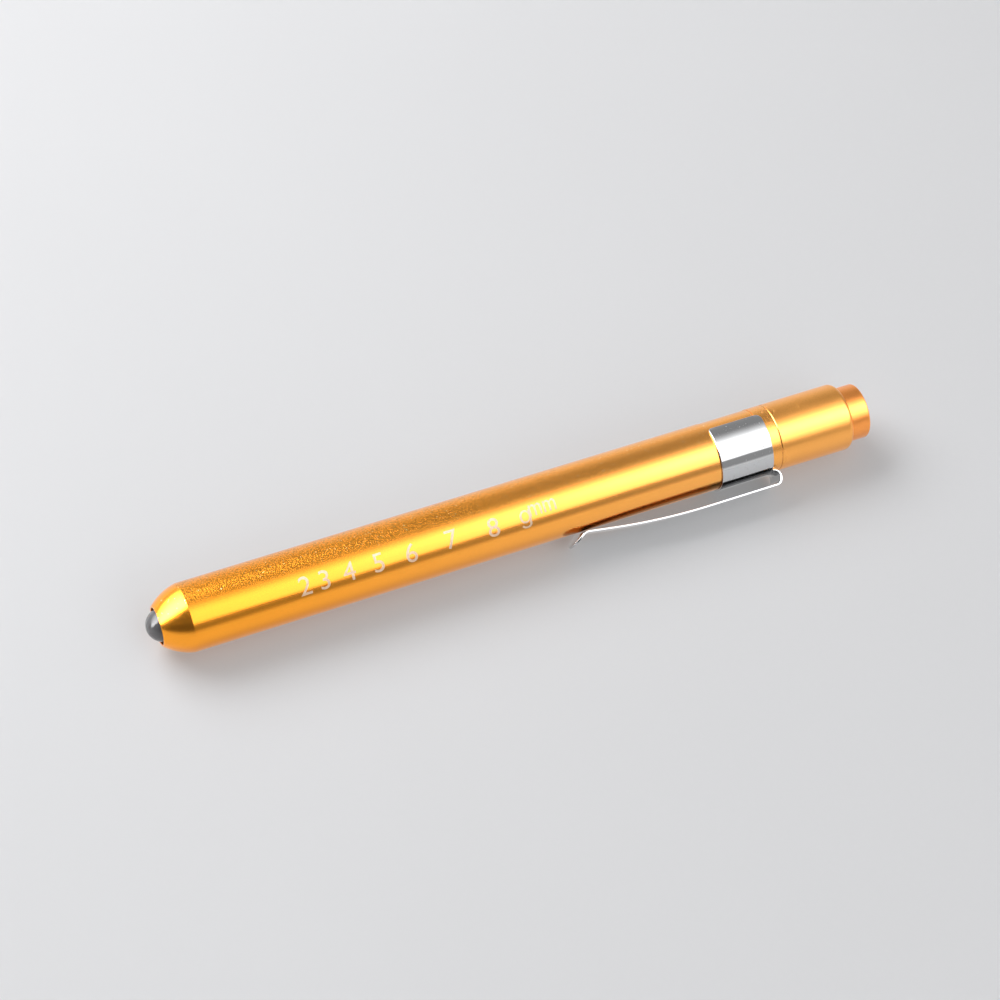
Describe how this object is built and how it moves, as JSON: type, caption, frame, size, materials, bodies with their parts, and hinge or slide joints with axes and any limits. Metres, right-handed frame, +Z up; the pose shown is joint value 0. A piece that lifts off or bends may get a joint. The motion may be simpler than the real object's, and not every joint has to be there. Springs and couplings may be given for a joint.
{
  "type": "penlight",
  "caption": "Slim pocket penlight with a domed lamp in a turned nose, a sprung pocket clip and a screwed tail cap with a latching push button.",
  "frame": {"origin": "on the pen's axis, midway along the bare grip between the nose cone and the clip's tip", "axes": "+X along the pen from the lamp to the push button; +Z up as the pen lies on a table on its clip band and the edge of its clip arm; the clip hangs over the -Y side, low"},
  "size_m": [0.1389, 0.0156, 0.0134],
  "materials": {
    "gold_anodised": "satin anodised",
    "clip_steel": "polished stainless",
    "spring_steel": "drawn wire",
    "brass": "turned",
    "lens_plastic": "clear, polished",
    "white_plastic": "moulded",
    "black_plastic": "moulded",
    "seal_rubber": "smooth",
    "cell_can": "drawn",
    "cell_film": "shrunk film",
    "board": "circuit board",
    "chip_phosphor": "light chip"
  },
  "bodies": {
    "pen": {"barrel": "gold_anodised", "clip_band": "clip_steel", "lens": "lens_plastic", "lens_seal": "seal_rubber", "light_chip": "chip_phosphor", "lamp_board": "board", "lamp_holder": "white_plastic", "lamp_pin": "brass", "front_cell_can": "cell_can", "front_cell_terminal": "spring_steel", "front_cell_film": "cell_film", "rear_cell_can": "cell_can", "rear_cell_terminal": "spring_steel", "rear_cell_film": "cell_film"},
    "clip": {"clip_arm": "clip_steel"},
    "tail_slide": {"battery_spring": "spring_steel", "tail_seal": "seal_rubber"},
    "tail": {"tail_cap": "gold_anodised", "switch_housing": "black_plastic", "switch_base": "black_plastic", "retaining_ring": "brass", "contact_plate": "brass", "ground_contact": "brass", "latch_cover": "spring_steel", "return_spring": "spring_steel"},
    "press": {"button": "gold_anodised", "plunger": "white_plastic", "moving_contact": "brass"},
    "latch": {"latch_link": "spring_steel"}
  },
  "joints": [
    {"name": "clip_flex", "type": "hinge", "parent": "pen", "child": "clip", "pos_m": [0.07584, -0.00672, -0.00358], "axis": [0, -0.4704, 0.8825], "range_deg": [0, 5], "stiffness_Nm_per_rad": 0.9},
    {"name": "cap_advance", "type": "slide", "parent": "pen", "child": "tail_slide", "axis": [1, 0, 0], "range_m": [0, 0.0056]},
    {"name": "cap_unscrew", "type": "hinge", "parent": "tail_slide", "child": "tail", "pos_m": [0.07749, 0, 0], "axis": [1, 0, 0], "range_deg": [0, 2520]},
    {"name": "button_press", "type": "slide", "parent": "tail", "child": "press", "axis": [-1, 0, 0], "range_m": [0, 0.0022], "stiffness_N_per_m": 1200, "deforming": ["return_spring"]},
    {"name": "latch_swing", "type": "hinge", "parent": "tail", "child": "latch", "pos_m": [0.08274, 0, 0.0019], "axis": [0, 0, 1], "range_deg": [0, 20.01]}
  ],
  "couplings": [
    {"joint": "cap_unscrew", "follows": "cap_advance", "rad_per_m": 7854},
    {"joint": "latch_swing", "follows": "button_press", "rad_per_m": 158.67}
  ]
}
